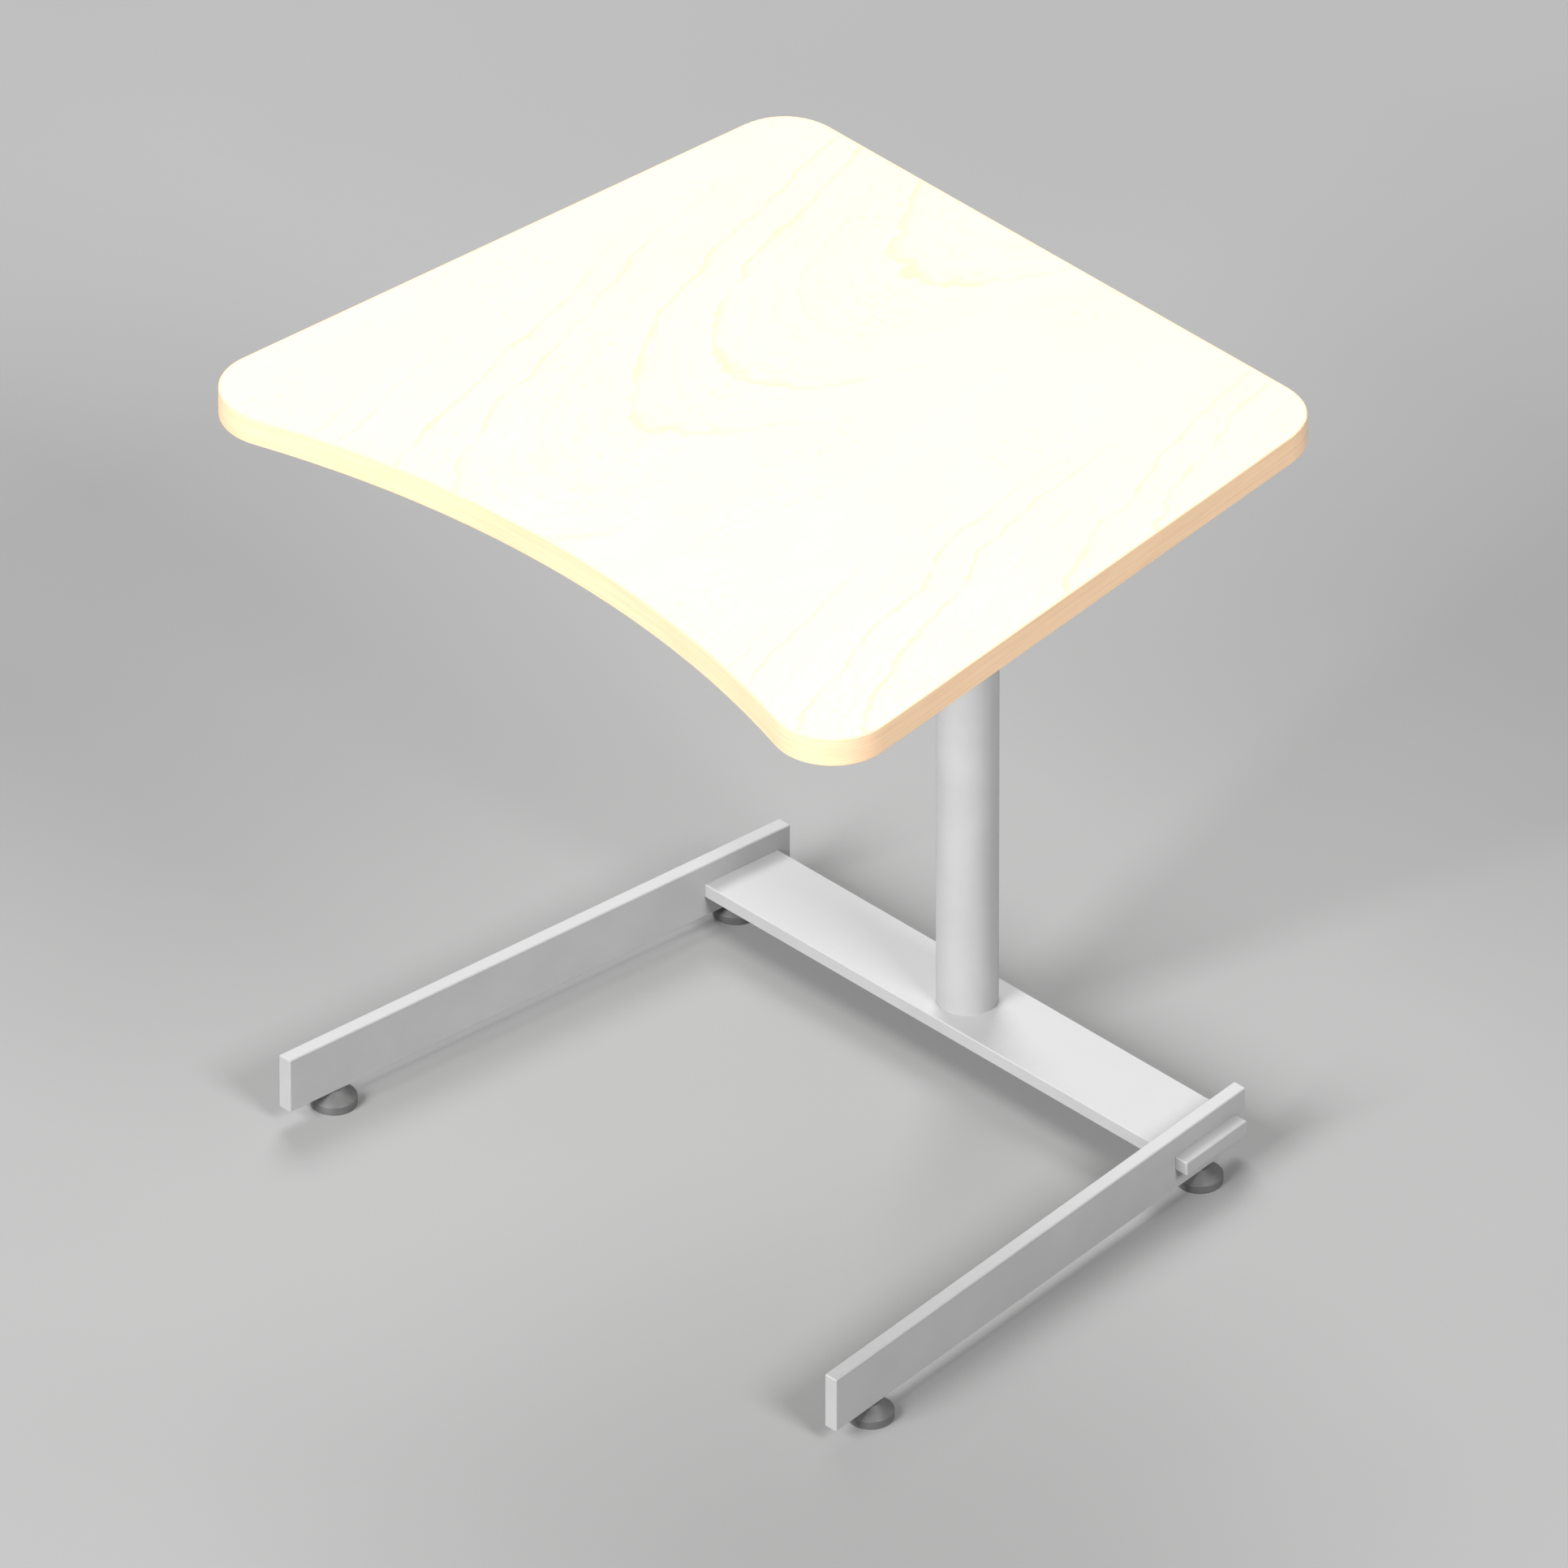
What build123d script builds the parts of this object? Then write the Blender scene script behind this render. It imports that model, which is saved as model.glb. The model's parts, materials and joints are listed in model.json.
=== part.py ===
from build123d import *
import math
import os

# Overbed table, in millimetres. +X is the user's right, -Y the user's side (the concave front edge),
# +Z up. The origin is on the floor, under the middle of the table's box.
# "Depth" below is a distance forward from the straight back edge of the tabletop.

# ---- driving dimensions ----------------------------------------------------------------------
INCH = 25.4

TOP_HEIGHT = 28.5 * INCH            # floor to writing surface, column fully down
TOP_THICKNESS = 1 * INCH
TOP_BACK_WIDTH = 24 * INCH          # the back edge, if its corners were sharp
SIDE_SPLAY = 0.1                    # each side leans out 1 in 10: 24 in grows to 29 in over 25 in
FRONT_ARC_DEPTH = 567.8             # back edge to the deepest point of the concave front edge
FRONT_ARC_RADIUS = 954.1
CORNER_RADIUS = 2 * INCH
EDGE_BAND_THICKNESS = 2.0
VENEER_THICKNESS = 0.8
EDGE_ROUND = 1.0

BAR_THICKNESS = 0.5 * INCH          # flat bar of the rails and the crossbar
RAIL_TALL = 2 * INCH
RAIL_CENTRE_AT_BACK = 253.2         # rail centre line, carried back to the tabletop's back edge
RAIL_REAR_DEPTH = 2 * INCH
RAIL_FRONT_DEPTH = FRONT_ARC_DEPTH  # the rails end level with the middle of the front edge
CROSSBAR_WIDE = 3 * INCH
CROSSBAR_REAR_DEPTH = 2.5 * INCH
CROSSBAR_STICKS_OUT = 0.5 * INCH    # past each rail's outer face
BAR_CHAMFER = 0.8
SLOT_CLEARANCE = 0.1

FOOT_RADIUS = 0.75 * INCH
FOOT_TALL = 0.625 * INCH
FOOT_RIM_TALL = 7.6
FOOT_NECK_RADIUS = 8.7
FOOT_FROM_RAIL_END = 2 * INCH
STEM_RADIUS = 3.95                  # M8 thread, over its crests
STEM_TOP = 31.0
STEM_HEAD_RADIUS = 6.5
STEM_HEAD_BOTTOM = 7.0
STEM_HEAD_TOP = 10.0
FIT = 0.05                          # radial clearance of everything that turns or slides
LOOSE_FIT = 0.2                     # radial clearance of a screw's through hole
EDGE_BREAK = 0.8                    # chamfer on the larger turned parts
SMALL_BREAK = 0.5                   # chamfer on pins, rods and thin plate
CUT_PAST = 1.0                      # how far a cutter runs on past the face it opens

COLUMN_RADIUS = 1 * INCH
COLUMN_WALL = 2.0
COLUMN_TOP = 650.0
INNER_TUBE_RADIUS = 0.875 * INCH
INNER_TUBE_WALL = 2.0
INNER_TUBE_BOTTOM = 135.0
COLUMN_TRAVEL = 14 * INCH

PLUG_TALL = 45.0
BOLT_RADIUS = 6.0
BOLT_HEAD_FLATS = 18.0
BOLT_HEAD_TALL = 7.5
BOLT_IN_PLUG = 25.0
WASHER_RADIUS = 12.0
WASHER_THICKNESS = 2.5
DOWEL_RADIUS = 3.0
DOWEL_X = 16.0
DOWEL_SINK = 10.0                   # the depth of a dowel's hole in the crossbar and in the plug
BLIND_GAP = 2.0                     # air left past the end of a screw in a blind hole
SMALL_SCREW_RADIUS = 2.5
LOCK_SCREW_RADIUS = 3.0
LOCK_SCREW_SUNK = 1.5               # its socket, above the rail's underside
LOCK_SCREW_GRIP = 5.0               # how far its tip enters the crossbar

GUIDE_BUSH_BOTTOM = 600.0
BUSH_FLANGE = 5.0
SLIDE_BUSH_TALL = 30.0
SLIDE_BUSH_LIP = 4.0
GUIDE_SCREW_Z = 625.0
GUIDE_SCREW_RADIUS = 3.0
STOP_RING_TALL = 5.0
STOP_RING_RADIUS = 26.9

CYLINDER_RADIUS = 14.0
CYLINDER_WALL = 1.5
CYLINDER_FLOOR = 6.0
CYLINDER_TOP = 565.0
ROD_RADIUS = 5.0
ROD_BOTTOM = 150.0
PISTON_TALL = 14.0
ROD_PAST_PISTON = 2.0
GLAND_TALL = 15.0
GLAND_FLANGE = 3.0
SEAL_TALL = 4.0
STUD_RADIUS = 4.0                   # the gas spring's stud, in the plug
STUD_LONG = 12.0

PLATE_THICKNESS = 5.0
PLATE_WIDE = 200.0
PLATE_DEEP = 350.0
PLATE_REAR_DEPTH = 36.6
PLATE_CORNER = 20.0
PLATE_SCREW_LENGTH = 20.0
PLATE_SCREW_X = 80.0
PLATE_SCREW_SPACING = 103.0
PLATE_SCREWS_PER_SIDE = 4
COLLAR_RADIUS = 30.0
COLLAR_SCREW_UP = 7.0
SCREW_ANGLES = (60, 180, 300)       # degrees round the column, from +X towards +Y
REAR = 90
WINDOW_HALF = 8.0
WINDOW_TALL = 17.0
WINDOW_BELOW_PLATE = 2.5
RELEASE_BLOCK_TALL = 22.0
ROD_IN_BLOCK = 10.0
PIN_RADIUS = 2.0
PIN_HEAD_RADIUS = 3.5
PIN_HEAD_TALL = 2.0
PIN_STANDS_UP = 5.0                 # the release pin's head, above the release block
PIN_IN_ROD = 60.0
PIN_ROOM = 10.0                     # free bore under the release pin

PIVOT_X = 44.0
PIVOT_BELOW_TOP = 14.5              # lever pivot, below the tabletop's underside
LEVER_WIDE = 12.0
LEVER_THICK = 8.0
LEVER_DROP = 6.0                    # the crank between the pivot and the grip
LEVER_INNER_X = -5.0
LEVER_BOSS_RADIUS = 6.0
LEVER_NOSE_RADIUS = 4.0
NOSE_GAP = 0.3                      # between the lever's nose and the release pin
CRANK_START_X = PIVOT_X + 20.0
CRANK_END_X = CRANK_START_X + 40.0
PIVOT_RADIUS = 3.0
CLIP_THICKNESS = 1.0
CLIP_GROOVE_DEEP = 0.6
GRIP_START_X = 150.0
GRIP_END_X = 255.0
GRIP_WALL = 5.0                     # between the lever's end and the grip's end
GRIP_WIDE = 26.0
GRIP_TALL = 14.0
GRIP_ROUND = 5.0
GRIP_END_ROUND = 3.0
BRACKET_CHEEK = 3.0
BRACKET_HALF_GAP = 8.0
BRACKET_HALF_LONG = 11.0
BRACKET_BELOW_PIVOT = 8.0
BRACKET_ROUND = 5.0
BRACKET_SCREW_Y = 19.0
BRACKET_PAST_SCREW = 7.0

# ---- worked out from those -------------------------------------------------------------------
SLANT = math.hypot(1, SIDE_SPLAY)


def depth_at_arc(half_width, radius):
    """Depth where a line that leans out from this half-width meets a circle about the arc's centre."""
    arc_centre = FRONT_ARC_DEPTH + FRONT_ARC_RADIUS
    a = SLANT ** 2
    b = 2 * (SIDE_SPLAY * half_width - arc_centre)
    c = half_width ** 2 + arc_centre ** 2 - radius ** 2
    return (-b - math.sqrt(b * b - 4 * a * c)) / (2 * a)


def front_corner_depth():
    """Depth of the centre of a front corner's rounding.

    It lies one corner radius inside the slanted side, and one corner radius outside the front arc.
    """
    inset = TOP_BACK_WIDTH / 2 - CORNER_RADIUS * SLANT
    return depth_at_arc(inset, FRONT_ARC_RADIUS + CORNER_RADIUS)


def sharp_front_corner():
    """Half-width and depth where the slanted side would meet the front arc."""
    half = TOP_BACK_WIDTH / 2
    depth = depth_at_arc(half, FRONT_ARC_RADIUS)
    return half + SIDE_SPLAY * depth, depth


TOP_DEEP = front_corner_depth() + CORNER_RADIUS
BACK_Y = TOP_DEEP / 2


def y_at(depth):
    return BACK_Y - depth


UNDERSIDE = TOP_HEIGHT - TOP_THICKNESS
RAIL_BOTTOM = FOOT_TALL
RAIL_TOP = RAIL_BOTTOM + RAIL_TALL
CROSSBAR_BOTTOM = RAIL_BOTTOM + (RAIL_TALL - BAR_THICKNESS) / 2
CROSSBAR_TOP = CROSSBAR_BOTTOM + BAR_THICKNESS
COLUMN_DEPTH = CROSSBAR_REAR_DEPTH + CROSSBAR_WIDE / 2
COLUMN_Y = y_at(COLUMN_DEPTH)
RAIL_HALF = BAR_THICKNESS * SLANT / 2          # half the rail's thickness, measured along X
COLUMN_BORE = COLUMN_RADIUS - COLUMN_WALL
INNER_BORE = INNER_TUBE_RADIUS - INNER_TUBE_WALL
CYLINDER_BORE = CYLINDER_RADIUS - CYLINDER_WALL
PLUG_TOP = CROSSBAR_TOP + PLUG_TALL
PLATE_BOTTOM = UNDERSIDE - PLATE_THICKNESS
INNER_TUBE_TOP = PLATE_BOTTOM
FLANGE_TOP = COLUMN_TOP + BUSH_FLANGE
COLLAR_BOTTOM = FLANGE_TOP + STOP_RING_TALL
PIVOT_Z = UNDERSIDE - PIVOT_BELOW_TOP
LEVER_TOP = PIVOT_Z + LEVER_THICK / 2
LEVER_BOTTOM = PIVOT_Z - LEVER_THICK / 2
BLOCK_BOTTOM = COLUMN_TOP
BLOCK_TOP = BLOCK_BOTTOM + RELEASE_BLOCK_TALL
ROD_TOP = BLOCK_BOTTOM + ROD_IN_BLOCK
PIN_TOP = BLOCK_TOP + PIN_STANDS_UP
PIN_BOTTOM = ROD_TOP - PIN_IN_ROD
LOCK_SCREW_DEPTHS = (COLUMN_DEPTH - INCH, COLUMN_DEPTH + INCH)
LOCK_SCREW_BOTTOM = RAIL_BOTTOM + LOCK_SCREW_SUNK
LOCK_SCREW_TOP = CROSSBAR_BOTTOM + LOCK_SCREW_GRIP
TUBE_SCREW_Z = CROSSBAR_TOP + PLUG_TALL / 2
BLOCK_SCREW_Z = BLOCK_BOTTOM + ROD_IN_BLOCK / 2
COLLAR_SCREW_Z = COLLAR_BOTTOM + COLLAR_SCREW_UP
PLATE_MID_Y = y_at(PLATE_REAR_DEPTH + PLATE_DEEP / 2)
BRACKET_HALF = BRACKET_HALF_GAP + BRACKET_CHEEK
BRACKET_UNDER = PLATE_BOTTOM - BRACKET_CHEEK
CLIP_BOTTOM = 2 * BRACKET_HALF + NOSE_GAP      # along the pivot pin, from its head
CLIP_TOP = CLIP_BOTTOM + CLIP_THICKNESS
WINDOW_TOP = PLATE_BOTTOM - WINDOW_BELOW_PLATE
WINDOW_BOTTOM = WINDOW_TOP - WINDOW_TALL


# ---- helpers ---------------------------------------------------------------------------------
def save(node, solids):
    """Write one node: a single solid, or a list of separate identical ones."""
    if isinstance(solids, list):
        solids = Compound(children=solids)
    export_step(solids, f"parts/{node}.step")


def upright(radius, bottom, top, x=0.0, y=COLUMN_Y):
    """A vertical round bar between two heights, on the column's axis unless told otherwise."""
    return Pos(x, y, (bottom + top) / 2) * Cylinder(radius, top - bottom)


def ring(outer, inner, bottom, top):
    """A vertical tube on the column's axis."""
    return upright(outer, bottom, top) - upright(inner, bottom - CUT_PAST, top + CUT_PAST)


def block(x_range, y_range, z_range):
    """A box between three pairs of limits."""
    lows = [min(pair) for pair in (x_range, y_range, z_range)]
    sizes = [abs(pair[1] - pair[0]) for pair in (x_range, y_range, z_range)]
    middle = [low + size / 2 for low, size in zip(lows, sizes)]
    return Pos(*middle) * Box(*sizes)


def slab(outline, bottom, top):
    """A flat face given thickness between two heights."""
    return Pos(0, 0, bottom) * extrude(outline, top - bottom)


def radial(piece, angle, distance, height):
    """Stand a +Z piece at a distance from the column's axis, pointing inward at the axis."""
    return Pos(0, COLUMN_Y, height) * Rot(0, 0, angle) * Pos(distance, 0, 0) * Rot(0, -90, 0) * piece


def stub(radius, length):
    """A plain round bar from z = 0 upward, used for drilled holes."""
    return Pos(0, 0, length / 2) * Cylinder(radius, length)


def rims(piece):
    """The round edges of a piece, smallest first."""
    return piece.edges().filter_by(GeomType.CIRCLE).sort_by(SortBy.RADIUS)


def hexagon(across_flats, bottom, top):
    """A six-sided bar about the Z axis."""
    return slab(RegularPolygon(across_flats / 2, 6, major_radius=False), bottom, top)


def set_screw(radius, length):
    """A headless screw from z = 0 upward, with its hexagon socket at z = 0."""
    body = chamfer(stub(radius, length).edges(), radius * 0.15)
    return body - hexagon(radius, -CUT_PAST, radius)


def button_screw(radius, length):
    """A domed screw: its head lies below z = 0 and its shank runs up from there."""
    head_radius = radius * 1.85
    head_tall = radius * 1.1
    head = Pos(0, 0, -head_tall / 2) * Cylinder(head_radius, head_tall)
    head = fillet(head.edges().group_by(Axis.Z)[0], head_tall * 0.6)
    head -= hexagon(radius * 1.3, -head_tall - CUT_PAST, -head_tall / 2)
    shank = stub(radius, length)
    return head + chamfer(shank.edges().group_by(Axis.Z)[-1], radius * 0.15)


def countersunk_screw(radius, length):
    """A flat-headed wood screw: its face is at z = 0 and its point is up at z = length."""
    profile = Polyline(
        (0, 0), (radius * 2, 0), (radius, radius), (radius, length - radius * 2), (0, length), (0, 0)
    )
    body = revolve(Plane.XZ * make_face(profile), Axis.Z)
    arm_long, arm_wide = radius * 2, radius * 0.4
    cross = Box(arm_long, arm_wide, radius) + Box(arm_wide, arm_long, radius)
    return body - Pos(0, 0, radius / 2) * cross


def countersink(radius, length):
    """The hole that a countersunk screw of this size fits, a little wider all round."""
    mouth, bore = radius * 2 + FIT, radius + FIT
    bottom, top = -CUT_PAST, length + CUT_PAST
    profile = Polyline(
        (0, bottom), (mouth, bottom), (mouth, 0), (bore, radius), (bore, top), (0, top), (0, bottom)
    )
    return revolve(Plane.XZ * make_face(profile), Axis.Z)


# ---- base ------------------------------------------------------------------------------------
def rail_centre_x(depth):
    return RAIL_CENTRE_AT_BACK + SIDE_SPLAY * depth


def foot_depths():
    return RAIL_FRONT_DEPTH - FOOT_FROM_RAIL_END, RAIL_REAR_DEPTH + FOOT_FROM_RAIL_END


def slanted_bar(inner_offset, outer_offset, rear_depth, front_depth, bottom, top):
    """An upright slab between two lines that lean out like the rails."""
    corners = [
        (rail_centre_x(rear_depth) + inner_offset, y_at(rear_depth)),
        (rail_centre_x(front_depth) + inner_offset, y_at(front_depth)),
        (rail_centre_x(front_depth) + outer_offset, y_at(front_depth)),
        (rail_centre_x(rear_depth) + outer_offset, y_at(rear_depth)),
    ]
    return slab(make_face(Polyline(*corners, close=True)), bottom, top)


def crossbar_slot():
    """Cutter for the hole through the right rail, a little larger than the bar that fills it."""
    rear_y = y_at(CROSSBAR_REAR_DEPTH - SLOT_CLEARANCE)
    front_y = y_at(CROSSBAR_REAR_DEPTH + CROSSBAR_WIDE + SLOT_CLEARANCE)
    z_range = (CROSSBAR_BOTTOM - SLOT_CLEARANCE, CROSSBAR_TOP + SLOT_CLEARANCE)
    return block((0, TOP_BACK_WIDTH), (front_y, rear_y), z_range)


def lock_screw_holes():
    holes = []
    for depth in LOCK_SCREW_DEPTHS:
        x = rail_centre_x(depth)
        holes.append(upright(LOCK_SCREW_RADIUS + FIT, 0, LOCK_SCREW_TOP, x, y_at(depth)))
    return holes


def right_rail():
    """Flat bar on edge, slotted for the crossbar and drilled from below for its feet and screws."""
    rail = slanted_bar(-RAIL_HALF, RAIL_HALF, RAIL_REAR_DEPTH, RAIL_FRONT_DEPTH, RAIL_BOTTOM, RAIL_TOP)
    rail = chamfer(rail.edges(), BAR_CHAMFER)
    rail -= crossbar_slot()
    rail -= lock_screw_holes()
    for depth in foot_depths():
        rail -= upright(STEM_RADIUS + FIT, 0, STEM_TOP + CUT_PAST, rail_centre_x(depth), y_at(depth))
    return rail


def crossbar():
    """Flat bar laid flat through both rails; it carries the column."""
    front_depth = CROSSBAR_REAR_DEPTH + CROSSBAR_WIDE
    reach = RAIL_HALF + CROSSBAR_STICKS_OUT
    ends = [
        (rail_centre_x(CROSSBAR_REAR_DEPTH) + reach, y_at(CROSSBAR_REAR_DEPTH)),
        (rail_centre_x(front_depth) + reach, y_at(front_depth)),
    ]
    corners = ends + [(-x, y) for x, y in reversed(ends)]
    bar = slab(make_face(Polyline(*corners, close=True)), CROSSBAR_BOTTOM, CROSSBAR_TOP)
    bar = chamfer(bar.edges(), BAR_CHAMFER)
    bar -= upright(BOLT_RADIUS + LOOSE_FIT, 0, CROSSBAR_TOP + CUT_PAST)
    for side in (-1, 1):
        low, high = CROSSBAR_TOP - DOWEL_SINK, CROSSBAR_TOP + CUT_PAST
        bar -= upright(DOWEL_RADIUS, low, high, x=side * DOWEL_X)
    for hole in lock_screw_holes():
        bar -= [hole, mirror(hole, Plane.YZ)]
    return bar


def crossbar_lock_screws():
    """Set screws, up through the rails' undersides into the crossbar."""
    screw = set_screw(LOCK_SCREW_RADIUS, LOCK_SCREW_TOP - LOCK_SCREW_BOTTOM)
    right = []
    for depth in LOCK_SCREW_DEPTHS:
        right.append(Pos(rail_centre_x(depth), y_at(depth), LOCK_SCREW_BOTTOM) * screw)
    return right + [mirror(screw, Plane.YZ) for screw in right]


def rear_hole(radius, height):
    """Cutter for a screw that enters the column from behind."""
    return radial(stub(radius + FIT, COLUMN_RADIUS / 2), REAR, COLUMN_RADIUS + CUT_PAST, height)


def outer_column_tube():
    tube = ring(COLUMN_RADIUS, COLUMN_BORE, CROSSBAR_TOP, COLUMN_TOP)
    tube -= rear_hole(GUIDE_SCREW_RADIUS, GUIDE_SCREW_Z)
    return tube - rear_hole(SMALL_SCREW_RADIUS, TUBE_SCREW_Z)


def column_base_plug():
    """Turned steel plug that locates the column tube and takes the bolt and the gas spring's stud."""
    plug = upright(COLUMN_BORE - FIT, CROSSBAR_TOP, PLUG_TOP)
    plug = chamfer(plug.edges().group_by(Axis.Z)[-1], EDGE_BREAK)
    under = CROSSBAR_TOP - CUT_PAST
    plug -= upright(BOLT_RADIUS + FIT, under, CROSSBAR_TOP + BOLT_IN_PLUG + BLIND_GAP)
    plug -= upright(STUD_RADIUS + FIT, PLUG_TOP - STUD_LONG - BLIND_GAP, PLUG_TOP + CUT_PAST)
    for side in (-1, 1):
        plug -= upright(DOWEL_RADIUS, under, CROSSBAR_TOP + DOWEL_SINK, x=side * DOWEL_X)
    return plug - rear_hole(SMALL_SCREW_RADIUS, TUBE_SCREW_Z)


def column_bolt():
    """Hexagon bolt, up through the crossbar into the plug."""
    head_top = CROSSBAR_BOTTOM - WASHER_THICKNESS
    head = hexagon(BOLT_HEAD_FLATS, head_top - BOLT_HEAD_TALL, head_top)
    head = chamfer(head.edges().group_by(Axis.Z)[0], EDGE_BREAK)
    return Pos(0, COLUMN_Y, 0) * head + upright(BOLT_RADIUS, head_top, CROSSBAR_TOP + BOLT_IN_PLUG)


def column_washer():
    bottom = CROSSBAR_BOTTOM - WASHER_THICKNESS
    return ring(WASHER_RADIUS, BOLT_RADIUS + LOOSE_FIT, bottom, CROSSBAR_BOTTOM)


def column_dowels():
    """Pins that stop the column turning on the crossbar."""
    half = DOWEL_SINK - SMALL_BREAK
    pins = []
    for side in (-1, 1):
        pin = upright(DOWEL_RADIUS - FIT, CROSSBAR_TOP - half, CROSSBAR_TOP + half, x=side * DOWEL_X)
        pins.append(chamfer(pin.edges(), SMALL_BREAK))
    return pins


def tube_screw():
    screw = button_screw(SMALL_SCREW_RADIUS, COLUMN_RADIUS / 2 - BLIND_GAP)
    return radial(screw, REAR, COLUMN_RADIUS, TUBE_SCREW_Z)


def guide_screw():
    """Its tip runs in the inner tube's slot: it stops the top turning, and limits the travel."""
    screw = button_screw(GUIDE_SCREW_RADIUS, COLUMN_RADIUS - INNER_BORE - LOOSE_FIT)
    return radial(screw, REAR, COLUMN_RADIUS, GUIDE_SCREW_Z)


def upper_guide_bush():
    bush = ring(COLUMN_BORE - FIT, INNER_TUBE_RADIUS + FIT, GUIDE_BUSH_BOTTOM, COLUMN_TOP)
    flange = ring(COLUMN_RADIUS, INNER_TUBE_RADIUS + FIT, COLUMN_TOP, FLANGE_TOP)
    flange = chamfer(rims(flange).group_by(Axis.Z)[-1].sort_by(SortBy.RADIUS)[-1], EDGE_BREAK)
    return bush + flange - rear_hole(GUIDE_SCREW_RADIUS, GUIDE_SCREW_Z)


def stop_ring():
    """Soft ring on the bush that the top's collar lands on."""
    rubber = ring(STOP_RING_RADIUS, INNER_TUBE_RADIUS + LOOSE_FIT, FLANGE_TOP, COLLAR_BOTTOM)
    return fillet(rims(rubber)[-2:], EDGE_ROUND)


def gas_spring_cylinder():
    body = upright(CYLINDER_RADIUS, PLUG_TOP, CYLINDER_TOP)
    body -= upright(CYLINDER_BORE, PLUG_TOP + CYLINDER_FLOOR, CYLINDER_TOP + CUT_PAST)
    return body + upright(STUD_RADIUS, PLUG_TOP - STUD_LONG, PLUG_TOP)


def gas_spring_gland():
    bore = ROD_RADIUS + FIT
    plug = ring(CYLINDER_BORE - FIT, bore, CYLINDER_TOP - GLAND_TALL, CYLINDER_TOP)
    return plug + ring(CYLINDER_RADIUS, bore, CYLINDER_TOP, CYLINDER_TOP + GLAND_FLANGE)


def gas_spring_seal():
    top = CYLINDER_TOP - GLAND_TALL
    return ring(CYLINDER_BORE - FIT, ROD_RADIUS + FIT, top - SEAL_TALL, top)


# ---- feet ------------------------------------------------------------------------------------
def foot_pad():
    """Round glide on the foot's own axis: a short rim, a cone up to the rail, a socket inside."""
    profile = Polyline(
        (0, 0),
        (FOOT_RADIUS - SMALL_BREAK, 0),
        (FOOT_RADIUS, SMALL_BREAK),
        (FOOT_RADIUS, FOOT_RIM_TALL),
        (FOOT_NECK_RADIUS, FOOT_TALL),
        (STEM_RADIUS + FIT, FOOT_TALL),
        (STEM_RADIUS + FIT, STEM_HEAD_TOP + FIT),
        (STEM_HEAD_RADIUS + FIT, STEM_HEAD_TOP + FIT),
        (STEM_HEAD_RADIUS + FIT, STEM_HEAD_BOTTOM - FIT),
        (0, STEM_HEAD_BOTTOM - FIT),
        (0, 0),
    )
    return revolve(Plane.XZ * make_face(profile), Axis.Z)


def foot_stem():
    """Levelling screw: its round head is held in the pad, its thread runs in the rail."""
    profile = Polyline(
        (0, STEM_HEAD_BOTTOM),
        (STEM_HEAD_RADIUS, STEM_HEAD_BOTTOM),
        (STEM_HEAD_RADIUS, STEM_HEAD_TOP),
        (STEM_RADIUS, STEM_HEAD_TOP),
        (STEM_RADIUS, STEM_TOP - EDGE_BREAK),
        (STEM_RADIUS - EDGE_BREAK, STEM_TOP),
        (0, STEM_TOP),
        (0, STEM_HEAD_BOTTOM),
    )
    return revolve(Plane.XZ * make_face(profile), Axis.Z)


def foot_places():
    """Each foot's name and place: front and rear, left and right."""
    front, rear = foot_depths()
    places = {}
    for word, depth in (("front", front), ("rear", rear)):
        for side, sign in (("left", -1), ("right", 1)):
            places[f"{word}_{side}"] = (sign * rail_centre_x(depth), y_at(depth))
    return places


# ---- tabletop --------------------------------------------------------------------------------
def tabletop_outline():
    """Straight back, sides leaning out, a concave front, and four round corners."""
    half_back = TOP_BACK_WIDTH / 2
    half_front, front_depth = sharp_front_corner()
    front_y = y_at(front_depth)
    left_front, right_front = (-half_front, front_y), (half_front, front_y)
    edges = Polyline(left_front, (-half_back, BACK_Y), (half_back, BACK_Y), right_front)
    edges += ThreePointArc(right_front, (0, y_at(FRONT_ARC_DEPTH)), left_front)
    outline = make_face(edges)
    return fillet(outline.vertices(), CORNER_RADIUS)


def tabletop_inner_outline():
    return offset(tabletop_outline(), -EDGE_BAND_THICKNESS)


def edge_band():
    """Solid lipping round the board, its outer edges eased."""
    outer = slab(tabletop_outline(), UNDERSIDE, TOP_HEIGHT)
    levels = outer.edges().group_by(Axis.Z)
    outer = fillet(levels[0] + levels[-1], EDGE_ROUND)
    return outer - slab(tabletop_inner_outline(), UNDERSIDE - CUT_PAST, TOP_HEIGHT + CUT_PAST)


def plate_screw_places():
    """Two rows of screws, evenly spaced about the plate's middle."""
    first_y = PLATE_MID_Y - PLATE_SCREW_SPACING * (PLATE_SCREWS_PER_SIDE - 1) / 2
    places = []
    for x in (-PLATE_SCREW_X, PLATE_SCREW_X):
        for i in range(PLATE_SCREWS_PER_SIDE):
            places.append(Pos(x, first_y + i * PLATE_SCREW_SPACING, PLATE_BOTTOM))
    return places


def plate_screw_holes():
    hole = countersink(SMALL_SCREW_RADIUS, PLATE_SCREW_LENGTH)
    return [place * hole for place in plate_screw_places()]


def tabletop_core():
    board = slab(tabletop_inner_outline(), UNDERSIDE + VENEER_THICKNESS, TOP_HEIGHT - VENEER_THICKNESS)
    return board - plate_screw_holes()


def top_veneer():
    return slab(tabletop_inner_outline(), TOP_HEIGHT - VENEER_THICKNESS, TOP_HEIGHT)


def backing_veneer():
    skin = slab(tabletop_inner_outline(), UNDERSIDE, UNDERSIDE + VENEER_THICKNESS)
    return skin - plate_screw_holes()


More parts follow.
